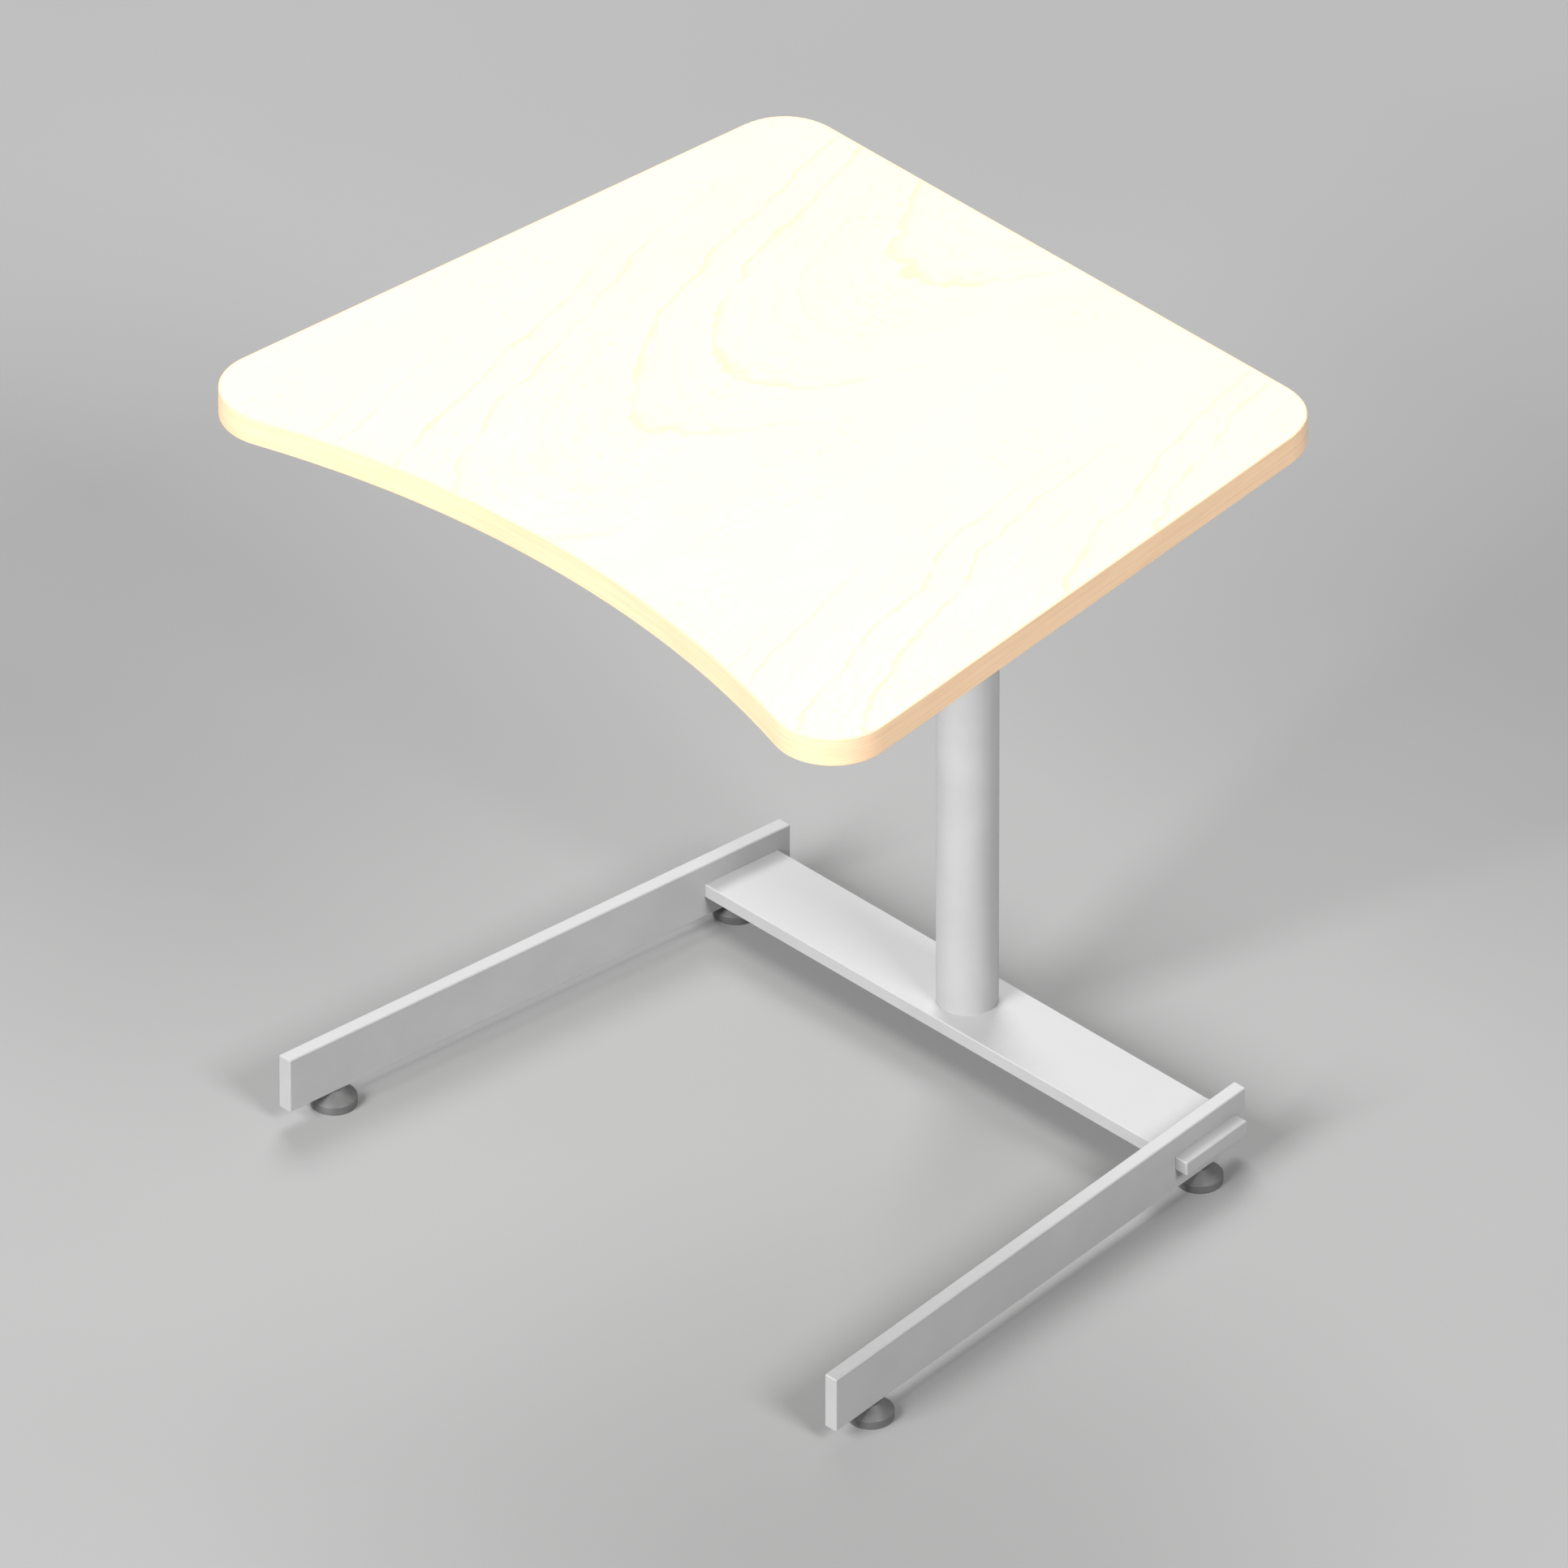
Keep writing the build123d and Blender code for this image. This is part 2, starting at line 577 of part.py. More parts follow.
# ---- column top and its release --------------------------------------------------------------
def lever_window():
    """Opening in the collar and the inner tube that the lever reaches in through."""
    x_range = (INNER_BORE - INCH / 4, COLLAR_RADIUS + CUT_PAST)
    return block(x_range, (COLUMN_Y - WINDOW_HALF, COLUMN_Y + WINDOW_HALF), (WINDOW_BOTTOM, WINDOW_TOP))


def bracket_screw_places():
    return [(PIVOT_X, COLUMN_Y + side * BRACKET_SCREW_Y) for side in (-1, 1)]


def column_top_plate():
    """Steel plate under the tabletop, with a welded collar that grips the inner tube."""
    outline = Pos(0, PLATE_MID_Y) * RectangleRounded(PLATE_WIDE, PLATE_DEEP, PLATE_CORNER)
    plate = slab(outline, PLATE_BOTTOM, UNDERSIDE)
    plate = chamfer(plate.edges().group_by(Axis.Z)[0], SMALL_BREAK)
    collar = ring(COLLAR_RADIUS, INNER_TUBE_RADIUS + FIT, COLLAR_BOTTOM, PLATE_BOTTOM)
    plate += chamfer(rims(collar).group_by(Axis.Z)[0].sort_by(SortBy.RADIUS)[-1], EDGE_BREAK)
    plate -= lever_window()
    plate -= plate_screw_holes()
    collar_hole = stub(LOCK_SCREW_RADIUS + FIT, COLLAR_RADIUS / 2)
    for angle in SCREW_ANGLES:
        plate -= radial(collar_hole, angle, COLLAR_RADIUS + CUT_PAST, COLLAR_SCREW_Z)
    for x, y in bracket_screw_places():
        plate -= upright(SMALL_SCREW_RADIUS + FIT, PLATE_BOTTOM - CUT_PAST, UNDERSIDE + CUT_PAST, x, y)
    return plate


def plate_screws():
    screw = countersunk_screw(SMALL_SCREW_RADIUS, PLATE_SCREW_LENGTH)
    return [place * screw for place in plate_screw_places()]


def collar_screws():
    outside = COLLAR_RADIUS - LOOSE_FIT
    screw = set_screw(LOCK_SCREW_RADIUS, outside - INNER_TUBE_RADIUS - LOOSE_FIT)
    return [radial(screw, angle, outside, COLLAR_SCREW_Z) for angle in SCREW_ANGLES]


def guide_slot():
    """Slot for the guide screw, as long as the column's travel."""
    outside = INNER_TUBE_RADIUS + CUT_PAST
    inside = INNER_BORE - CUT_PAST * 3
    half = GUIDE_SCREW_RADIUS + LOOSE_FIT / 2
    low = GUIDE_SCREW_Z - COLUMN_TRAVEL
    slot = block((-half, half), (COLUMN_Y + inside, COLUMN_Y + outside), (low, GUIDE_SCREW_Z))
    end = stub(half, outside - inside)
    return [slot] + [radial(end, REAR, outside, height) for height in (low, GUIDE_SCREW_Z)]


def block_screw_holes():
    """Cutters through the inner tube's wall into the release block."""
    outside = INNER_TUBE_RADIUS + CUT_PAST
    hole = stub(SMALL_SCREW_RADIUS + FIT, outside - ROD_RADIUS * 2)
    return [radial(hole, angle, outside, BLOCK_SCREW_Z) for angle in SCREW_ANGLES]


def inner_column_tube():
    tube = ring(INNER_TUBE_RADIUS, INNER_BORE, INNER_TUBE_BOTTOM, INNER_TUBE_TOP)
    tube -= guide_slot()
    tube -= lever_window()
    return tube - block_screw_holes()


def lower_slide_bush():
    """Plastic sleeve on the foot of the inner tube; it runs in the outer tube."""
    outside, foot = COLUMN_BORE - FIT, INNER_TUBE_BOTTOM
    sleeve = ring(outside, INNER_TUBE_RADIUS, foot, foot + SLIDE_BUSH_TALL)
    return sleeve + ring(outside, INNER_BORE, foot - SLIDE_BUSH_LIP, foot)


def gas_spring_rod():
    """Polished rod, bored at the top for the release pin."""
    rod = chamfer(upright(ROD_RADIUS, ROD_BOTTOM, ROD_TOP).edges(), SMALL_BREAK)
    return rod - upright(PIN_RADIUS + FIT, PIN_BOTTOM - PIN_ROOM, ROD_TOP + CUT_PAST)


def gas_spring_piston():
    bottom = ROD_BOTTOM + ROD_PAST_PISTON
    return ring(CYLINDER_BORE - FIT, ROD_RADIUS, bottom, bottom + PISTON_TALL)


def release_block():
    """Round block that ties the gas spring's rod to the inner tube."""
    body = chamfer(upright(INNER_BORE - FIT, BLOCK_BOTTOM, BLOCK_TOP).edges(), EDGE_BREAK)
    body -= upright(ROD_RADIUS + FIT, BLOCK_BOTTOM - CUT_PAST, ROD_TOP + BLIND_GAP)
    body -= upright(PIN_RADIUS + FIT, ROD_TOP, BLOCK_TOP + CUT_PAST)
    return body - block_screw_holes()


def block_screws():
    outside = INNER_TUBE_RADIUS - LOOSE_FIT
    screw = set_screw(SMALL_SCREW_RADIUS, outside - ROD_RADIUS * 2 - BLIND_GAP)
    return [radial(screw, angle, outside, BLOCK_SCREW_Z) for angle in SCREW_ANGLES]


def release_pin():
    """Pressing its head down opens the gas spring's valve."""
    shank = upright(PIN_RADIUS, PIN_BOTTOM, PIN_TOP - PIN_HEAD_TALL)
    head = chamfer(upright(PIN_HEAD_RADIUS, PIN_TOP - PIN_HEAD_TALL, PIN_TOP).edges(), SMALL_BREAK)
    return shank + head


def across_pivot(radius, length):
    """A round bar along Y, its middle on the lever's pivot."""
    return Pos(PIVOT_X, COLUMN_Y, PIVOT_Z) * Rot(90, 0, 0) * Cylinder(radius, length)


def lever_bracket():
    """Two cheeks that hold the lever's pivot, and a flange screwed up to the plate."""
    wide = BRACKET_SCREW_Y + BRACKET_PAST_SCREW
    x_range = (PIVOT_X - BRACKET_HALF_LONG, PIVOT_X + BRACKET_HALF_LONG)
    bracket = block(x_range, (COLUMN_Y - wide, COLUMN_Y + wide), (BRACKET_UNDER, PLATE_BOTTOM))
    for side in (-1, 1):
        y_range = (COLUMN_Y + side * BRACKET_HALF_GAP, COLUMN_Y + side * BRACKET_HALF)
        cheek = block(x_range, y_range, (PIVOT_Z - BRACKET_BELOW_PIVOT, BRACKET_UNDER))
        low_corners = cheek.edges().filter_by(Axis.Y).group_by(Axis.Z)[0]
        bracket += fillet(low_corners, BRACKET_ROUND)
    bracket -= across_pivot(PIVOT_RADIUS + FIT, 4 * BRACKET_HALF)
    hole_bottom, hole_top = BRACKET_UNDER - CUT_PAST, PLATE_BOTTOM + CUT_PAST
    for x, y in bracket_screw_places():
        bracket -= upright(SMALL_SCREW_RADIUS + LOOSE_FIT, hole_bottom, hole_top, x, y)
    return bracket


def bracket_screws():
    screw = button_screw(SMALL_SCREW_RADIUS, BRACKET_CHEEK + PLATE_THICKNESS - LOOSE_FIT)
    return [Pos(x, y, BRACKET_UNDER) * screw for x, y in bracket_screw_places()]


def on_pivot(piece):
    """Lay a +Z piece along the pivot, its z = 0 on the outside of the bracket's front cheek."""
    return Pos(PIVOT_X, COLUMN_Y - BRACKET_HALF, PIVOT_Z) * Rot(-90, 0, 0) * piece


def groove_ring(outer):
    """A flat ring in the pivot pin's groove, out to a given radius."""
    middle = Pos(0, 0, (CLIP_BOTTOM + CLIP_TOP) / 2)
    bore = Cylinder(PIVOT_RADIUS - CLIP_GROOVE_DEEP, CLIP_THICKNESS + 2 * CUT_PAST)
    return middle * (Cylinder(outer, CLIP_THICKNESS) - bore)


def lever_pivot_pin():
    """Headed pin, grooved at its other end for the clip."""
    shank = stub(PIVOT_RADIUS, CLIP_TOP + 2 * CLIP_THICKNESS)
    shank = chamfer(shank.edges().group_by(Axis.Z)[-1], SMALL_BREAK)
    head = Pos(0, 0, -PIN_HEAD_TALL) * stub(PIVOT_RADIUS * 1.6, PIN_HEAD_TALL)
    return on_pivot(shank + head - groove_ring(PIVOT_RADIUS + CUT_PAST))


def pivot_clip():
    """Open retaining ring that snaps into the pin's groove."""
    mouth_wide = PIVOT_RADIUS * 1.3
    mouth = Pos(0, -PIVOT_RADIUS, CLIP_TOP) * Box(mouth_wide, 2 * PIVOT_RADIUS, 4 * CLIP_THICKNESS)
    return on_pivot(groove_ring(PIVOT_RADIUS * 1.7) - mouth)


def lever_side_outline():
    """The lever seen from the front: straight over the pivot, then cranked down to the grip."""
    end = GRIP_END_X - GRIP_WALL
    return [
        (LEVER_INNER_X, LEVER_BOTTOM),
        (CRANK_START_X, LEVER_BOTTOM),
        (CRANK_END_X, LEVER_BOTTOM - LEVER_DROP),
        (end, LEVER_BOTTOM - LEVER_DROP),
        (end, LEVER_TOP - LEVER_DROP),
        (CRANK_END_X, LEVER_TOP - LEVER_DROP),
        (CRANK_START_X, LEVER_TOP),
        (LEVER_INNER_X, LEVER_TOP),
    ]


def release_lever():
    """Cranked flat bar with a boss on the pivot and a nose over the release pin."""
    outline = make_face(Polyline(*lever_side_outline(), close=True))
    bar = Pos(0, COLUMN_Y, 0) * extrude(Plane.XZ * outline, LEVER_WIDE / 2, both=True)
    boss = across_pivot(LEVER_BOSS_RADIUS, 2 * (BRACKET_HALF_GAP - LOOSE_FIT))
    nose = upright(LEVER_NOSE_RADIUS, PIN_TOP + NOSE_GAP, LEVER_BOTTOM)
    return bar + boss + nose - across_pivot(PIVOT_RADIUS + FIT, 4 * BRACKET_HALF)


def lever_grip():
    """Moulded handle over the end of the lever."""
    middle_z = PIVOT_Z - LEVER_DROP
    length = GRIP_END_X - GRIP_START_X
    section = RectangleRounded(GRIP_WIDE, GRIP_TALL, GRIP_ROUND)
    grip = Pos(GRIP_START_X, COLUMN_Y, middle_z) * (Plane.YZ * extrude(section, length))
    grip = fillet(grip.edges().group_by(Axis.X)[-1], GRIP_END_ROUND)
    grip -= block(
        (GRIP_START_X - CUT_PAST, GRIP_END_X - GRIP_WALL),
        (COLUMN_Y - LEVER_WIDE / 2, COLUMN_Y + LEVER_WIDE / 2),
        (middle_z - LEVER_THICK / 2, middle_z + LEVER_THICK / 2),
    )
    return grip


# ---- write every node ------------------------------------------------------------------------
def main():
    os.makedirs("parts", exist_ok=True)
    rail = right_rail()
    nodes = {
        "right_side_rail": rail,
        "left_side_rail": mirror(rail, Plane.YZ),
        "crossbar": crossbar(),
        "crossbar_lock_screws": crossbar_lock_screws(),
        "outer_column_tube": outer_column_tube(),
        "column_base_plug": column_base_plug(),
        "column_bolt": column_bolt(),
        "column_washer": column_washer(),
        "column_dowels": column_dowels(),
        "column_tube_screw": tube_screw(),
        "guide_screw": guide_screw(),
        "upper_guide_bush": upper_guide_bush(),
        "down_stop_ring": stop_ring(),
        "gas_spring_cylinder": gas_spring_cylinder(),
        "gas_spring_gland": gas_spring_gland(),
        "gas_spring_seal": gas_spring_seal(),
        "tabletop_core": tabletop_core(),
        "top_veneer": top_veneer(),
        "backing_veneer": backing_veneer(),
        "edge_band": edge_band(),
        "column_top_plate": column_top_plate(),
        "top_plate_screws": plate_screws(),
        "collar_set_screws": collar_screws(),
        "inner_column_tube": inner_column_tube(),
        "lower_slide_bush": lower_slide_bush(),
        "gas_spring_rod": gas_spring_rod(),
        "gas_spring_piston": gas_spring_piston(),
        "release_block": release_block(),
        "release_block_screws": block_screws(),
        "release_pin": release_pin(),
        "lever_bracket": lever_bracket(),
        "lever_bracket_screws": bracket_screws(),
        "lever_pivot_pin": lever_pivot_pin(),
        "lever_pivot_clip": pivot_clip(),
        "release_lever": release_lever(),
        "lever_grip": lever_grip(),
    }
    for name, (x, y) in foot_places().items():
        nodes[f"glide_pad_{name}"] = Pos(x, y, 0) * foot_pad()
        nodes[f"glide_stem_{name}"] = Pos(x, y, 0) * foot_stem()
    for node, solids in nodes.items():
        save(node, solids)
    print(f"{len(nodes)} nodes, tabletop depth {TOP_DEEP:.2f}, back edge at y {BACK_Y:.2f}")


main()
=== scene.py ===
import json
import math

import bpy
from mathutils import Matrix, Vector


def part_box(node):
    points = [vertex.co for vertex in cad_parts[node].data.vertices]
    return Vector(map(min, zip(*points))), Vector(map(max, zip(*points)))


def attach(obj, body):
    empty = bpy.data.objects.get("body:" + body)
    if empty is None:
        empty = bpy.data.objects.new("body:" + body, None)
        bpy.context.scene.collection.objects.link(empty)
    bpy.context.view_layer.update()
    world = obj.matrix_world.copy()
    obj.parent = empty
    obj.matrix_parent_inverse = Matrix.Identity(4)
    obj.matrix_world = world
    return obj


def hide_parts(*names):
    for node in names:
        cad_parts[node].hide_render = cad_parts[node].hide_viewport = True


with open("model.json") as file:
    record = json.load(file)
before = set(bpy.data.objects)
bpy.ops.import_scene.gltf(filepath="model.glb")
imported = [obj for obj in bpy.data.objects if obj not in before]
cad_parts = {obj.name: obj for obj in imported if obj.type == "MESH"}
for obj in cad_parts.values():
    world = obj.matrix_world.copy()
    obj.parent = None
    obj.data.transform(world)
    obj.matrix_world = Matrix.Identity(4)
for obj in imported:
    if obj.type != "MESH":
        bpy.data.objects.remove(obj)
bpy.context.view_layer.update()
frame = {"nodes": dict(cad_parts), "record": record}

# The looks of an overbed table, in metres, in the frame's own axes:
# +X to the user's right, -Y towards the user (the concave front edge), +Z up, the floor at z = 0.

nodes = frame["nodes"]
MM = 0.001

TOP_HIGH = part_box("edge_band")[1]
column_low, column_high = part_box("outer_column_tube")
COLUMN_MIDDLE = (column_low + column_high) / 2

# Crown-cut veneer, slip-matched: every leaf repeats the same nested arches, open towards the back.
LEAF_WIDTH = 0.465
ARCH_MIDDLE_X = -0.065
ARCH_SPREAD = 0.0826
ARCH_GAP = 0.100
FIRST_ARCH = 0.005
ARCH_WAVER = 0.050                  # how far an arch strays, from end to end
ARCH_LINE_END = 0.96                # the dark line ends here, in parts of one arch gap
MAPLE_PALE = (0.610, 0.570, 0.445, 1.0)
MAPLE_CLOUD = (0.600, 0.555, 0.430, 1.0)
MAPLE_FIBRE = (0.53, 0.475, 0.335, 1.0)
MAPLE_PORE = (0.42, 0.34, 0.22, 1.0)
MAPLE_VEIN = (0.52, 0.470, 0.280, 1.0)

SHARP_ANGLE = math.radians(40)      # edges that turn by more than this stay sharp
CORNER_STEPS = 6

GLIDE_RIM = 7.6 * MM                # height of the rim, then the radii at the neck and in the bore
GLIDE_NECK = 8.7 * MM
GLIDE_BORE = 4.05 * MM
GLIDE_EASES = (0.8 * MM, 1.2 * MM, 0.6 * MM)    # sole edge, rim and neck
SOLE_WIDTH = 9 * MM
SOLE_BEVEL = 1 * MM
SOLE_HOLLOW = 0.6 * MM
STEM_SOCKET = 5.7 * MM
CAP_RADIUS = 0.5 * MM               # the small flat face that closes a turned hollow
GLIDE_SEGMENTS = 96

THREAD_CREST = 3.95 * MM
THREAD_ROOT = 3.35 * MM
THREAD_PITCH = 1.25 * MM
TOOTH_RISE = 1.25                   # over 1, so that the crest is a narrow flat
TOOTH_ROOT = 0.05                   # taken off, so that the root is a narrow flat too
STEM_HEAD_RADIUS = 6.5 * MM
STEM_HEAD_TALL = 3 * MM
STEM_SEGMENTS = 48
RINGS_PER_TURN = 10

GRIP_SEGMENTS = 48
GRIP_RINGS = 120
GRIP_SQUARENESS = 0.55              # 1 is an ellipse, and 0 a rectangle
GRIP_NOSE = 0.07                    # parts of its length that round off at the end
GRIP_MOUTH = 0.03                   # parts of its length that narrow at the lever
MOUTH_NARROWS = 0.08
GRIP_TIP = 0.02                     # what is left of its section at the very end
HOLLOWS = 4
HOLLOWS_START = 0.08
HOLLOWS_LONG = 0.80
HOLLOW_DEEP = 1.5 * MM

VENEER_THICKNESS = 0.8 * MM
PLATE_THICKNESS = 5.0 * MM
COLLAR_RADIUS = 30.0 * MM
WELD_SIZE = 2.6 * MM
WELD_SINK = 0.1 * MM                # how far the bead's toes lie inside the steel
WELD_RIPPLES = 44
RIPPLE_SIZE = 0.10                  # in parts of the bead's size
WELD_STEPS = 240
WELD_CORNERS = 8

LIGHT_AIM = Vector((0.0, 0.0, 0.3))
LIGHT_DISTANCE = 14.0
FLOOR_HALF = 30.0

VIEW_HALF_ANGLE = math.radians(0.7)
VIEW_WIDTH = 1.25375
VIEW_TARGET = Vector((0.0171, TOP_HIGH.y - 0.3273, 0.3796))


# ---- material recipes ------------------------------------------------------------------------
class Recipe:
    """A material being put together. Each method adds one kind of node and returns its output."""

    def __init__(self, name):
        self.material = bpy.data.materials.new(name)
        self.material.use_nodes = True
        self.tree = self.material.node_tree
        self.surface = self.tree.nodes["Principled BSDF"]
        self.place = self.add("TexCoord").outputs["Object"]

    def add(self, kind, **settings):
        """A new shader node of this kind, with its settings."""
        made = self.tree.nodes.new("ShaderNode" + kind)
        for key, value in settings.items():
            setattr(made, key, value)
        return made

    def feed(self, socket, value):
        """Link another node's output to a socket, or store a constant on it."""
        if isinstance(value, bpy.types.NodeSocket):
            self.tree.links.new(value, socket)
        else:
            socket.default_value = value

    def math(self, operation, a, b=0.0, c=0.0):
        made = self.add("Math", operation=operation)
        for socket, value in zip(made.inputs, (a, b, c)):
            self.feed(socket, value)
        return made.outputs[0]

    def stretch(self, x, y, z):
        """The place, scaled apart along each axis: a larger number means finer detail that way."""
        made = self.add("VectorMath", operation="MULTIPLY")
        self.feed(made.inputs[0], self.place)
        self.feed(made.inputs[1], (x, y, z))
        return made.outputs[0]

    def noise(self, fineness, detail=2.0, roughness=0.5, distortion=0.0):
        """Cloudy noise, 0 to 1. Fineness is one number, or one for each axis."""
        if isinstance(fineness, float):
            fineness = (fineness, fineness, fineness)
        made = self.add("TexNoise")
        self.feed(made.inputs["Vector"], self.stretch(*fineness))
        self.feed(made.inputs["Scale"], 1.0)
        self.feed(made.inputs["Detail"], detail)
        self.feed(made.inputs["Roughness"], roughness)
        self.feed(made.inputs["Distortion"], distortion)
        return made.outputs["Fac"]

    def span(self, value, low, high, to_low, to_high):
        """value from low to high becomes to_low to to_high, clamped outside."""
        made = self.add("MapRange", interpolation_type="SMOOTHSTEP")
        for socket, number in zip(made.inputs, (value, low, high, to_low, to_high)):
            self.feed(socket, number)
        return made.outputs[0]

    def mix(self, factor, a, b):
        """Colour a where factor is 0, and colour b where it is 1."""
        made = self.add("Mix", data_type="RGBA")
        for index, value in ((0, factor), (6, a), (7, b)):
            self.feed(made.inputs[index], value)
        return made.outputs[2]

    def bump(self, height, depth):
        made = self.add("Bump")
        self.feed(made.inputs["Height"], height)
        self.feed(made.inputs["Distance"], depth)
        return made.outputs[0]

    def finish(self, **inputs):
        """Set the surface's inputs by name, with _ for a space, and return the material."""
        for name, value in inputs.items():
            self.feed(self.surface.inputs[name.replace("_", " ")], value)
        return self.material


def grey(level, warm=0.0):
    """A grey, its red raised and its blue lowered by warm."""
    return (level * (1 + warm), level, level * (1 - warm), 1.0)


# ---- materials -------------------------------------------------------------------------------
def maple_face():
    """Lacquered crown-cut maple: soft broken arches, fibres along Y, and flecks beside the crown."""
    r = Recipe("maple_face")
    axes = r.add("SeparateXYZ")
    r.feed(axes.inputs[0], r.place)
    x, y = axes.outputs["X"], axes.outputs["Y"]
    sway = stray(r, r.noise((7.0, 6.0, 0.0), 2.0))
    from_crown = r.math("SUBTRACT", r.math("ADD", x, sway), ARCH_MIDDLE_X)
    from_crown = r.math("WRAP", from_crown, LEAF_WIDTH / 2, -LEAF_WIDTH / 2)
    depth = r.math("SUBTRACT", TOP_HIGH.y - FIRST_ARCH, y)
    bend = r.math("DIVIDE", r.math("MULTIPLY", from_crown, from_crown), ARCH_SPREAD)
    waver = stray(r, r.noise((55.0, 38.0, 0.0), 3.0, 0.6))
    arch = r.math("DIVIDE", r.math("ADD", r.math("ADD", depth, bend), waver), ARCH_GAP)
    vein = r.math("MULTIPLY", arch_line(r, arch, 0.16), arch_strength(r, arch))
    faint = r.math("MULTIPLY", arch_line(r, r.math("MULTIPLY", arch, 4.0), 0.22), 0.28)
    left_flank = r.span(from_crown, 0.02, 0.11, 1.0, 0.12)
    near_crown = r.span(r.math("ABSOLUTE", from_crown), 0.165, 0.215, 1.0, 0.0)
    broken = r.span(r.noise((26.0, 17.0, 0.0), 3.0, 0.6), 0.34, 0.54, 0.25, 1.0)
    in_leaf = r.math("MULTIPLY", left_flank, near_crown)
    vein = r.math("MULTIPLY", r.math("MAXIMUM", vein, faint), in_leaf)
    vein = r.math("MULTIPLY", vein, broken)
    fleck_field = r.span(r.noise((11.0, 7.0, 3.0), 2.0), 0.46, 0.62, 0.0, 1.0)
    fleck = r.span(r.noise((190.0, 120.0, 0.0), 2.0), 0.56, 0.72, 0.0, 0.55)
    vein = r.math("MAXIMUM", vein, r.math("MULTIPLY", fleck, fleck_field))
    fibre = r.noise((900.0, 14.0, 0.0), 3.0, 0.6)
    pore = r.span(r.noise((1500.0, 90.0, 0.0), 1.0), 0.66, 0.78, 0.0, 0.12)
    cloud = r.span(r.noise((16.0, 9.0, 4.0), 3.0), 0.3, 0.7, 0.0, 1.0)
    tone = r.mix(cloud, MAPLE_PALE, MAPLE_CLOUD)
    tone = r.mix(r.span(fibre, 0.35, 0.75, 0.0, 0.16), tone, MAPLE_FIBRE)
    tone = r.mix(pore, tone, MAPLE_PORE)
    tone = r.mix(vein, tone, MAPLE_VEIN)
    relief = r.math("SUBTRACT", r.math("MULTIPLY", fibre, 0.6), r.math("MULTIPLY", vein, 0.5))
    return r.finish(
        Base_Color=tone,
        Roughness=r.span(fibre, 0.3, 0.8, 0.42, 0.52),
        Normal=r.bump(relief, 0.00004),
        Coat_Weight=0.15,
        Coat_Roughness=0.25,
    )


def stray(r, noise):
    """Noise as a distance, to either side of where an arch would be."""
    return r.math("MULTIPLY_ADD", noise, ARCH_WAVER, -ARCH_WAVER / 2)


def arch_line(r, arch, width):
    """1 on the dark line that closes each arch, fading in over width and out quickly after it."""
    part = r.math("FRACT", arch)
    rising = r.span(part, ARCH_LINE_END - width, ARCH_LINE_END, 0.0, 1.0)
    return r.math("MULTIPLY", rising, r.span(part, ARCH_LINE_END, 1.0, 1.0, 0.0))


def arch_strength(r, arch):
    """Two dark arches and then a pale one."""
    turn = r.math("MULTIPLY", r.math("ADD", r.math("FLOOR", arch), -1.0), 2 * math.pi / 3)
    return r.math("MULTIPLY_ADD", r.math("COSINE", turn), -0.45, 0.62)


def maple_edge():
    """Solid maple lipping, its grain running along each edge."""
    r = Recipe("maple_edge")
    streak = r.noise((9.0, 9.0, 420.0), 4.0, 0.6, 0.3)
    broad = r.noise((14.0, 14.0, 60.0), 2.0)
    pore = r.span(r.noise((260.0, 260.0, 2600.0), 1.0), 0.64, 0.76, 0.0, 0.25)
    light, dark = (0.83, 0.580, 0.370, 1.0), (0.72, 0.465, 0.275, 1.0)
    tone = r.mix(r.span(streak, 0.34, 0.74, 0.0, 0.6), light, dark)
    tone = r.mix(r.span(broad, 0.45, 0.75, 0.0, 0.3), tone, dark)
    tone = r.mix(pore, tone, (0.50, 0.33, 0.18, 1.0))
    return r.finish(
        Base_Color=tone,
        Roughness=r.span(streak, 0.3, 0.8, 0.40, 0.50),
        Normal=r.bump(streak, 0.00005),
        Coat_Weight=0.15,
        Coat_Roughness=0.25,
    )


def raw_board():
    """Pressed chips, seen only where the board is bored."""
    r = Recipe("raw_board")
    chip = r.add("TexVoronoi", feature="F1")
    r.feed(chip.inputs["Vector"], r.stretch(500.0, 300.0, 900.0))
    r.feed(chip.inputs["Scale"], 1.0)
    shade = r.span(chip.outputs["Distance"], 0.1, 0.9, 0.0, 1.0)
    tone = r.mix(shade, (0.46, 0.33, 0.19, 1.0), (0.30, 0.19, 0.10, 1.0))
    return r.finish(Base_Color=tone, Roughness=0.85, Normal=r.bump(shade, 0.0003))


def powder_coat():
    """Light grey powder coat: a fine orange-peel skin, faint clouding, and paler rubbed edges."""
    r = Recipe("powder_coat")
    cloud = r.noise(18.0, 3.0)
    peel = r.noise(650.0, 2.0, 0.6)
    speck = r.span(r.noise(1900.0, 1.0), 0.68, 0.78, 0.0, 1.0)
    dark, light = (0.355, 0.355, 0.358, 1.0), (0.378, 0.378, 0.380, 1.0)
    tone = r.mix(r.span(cloud, 0.3, 0.7, 0.0, 1.0), dark, light)
    tone = r.mix(r.math("MULTIPLY", speck, 0.18), tone, grey(0.24))
    tone = r.mix(r.math("MULTIPLY", worn_edges(r, 0.0012), 0.35), tone, grey(0.45))
    return r.finish(
        Base_Color=tone,
        Roughness=r.span(cloud, 0.3, 0.7, 0.38, 0.46),
        Normal=r.bump(peel, 0.00006),
    )


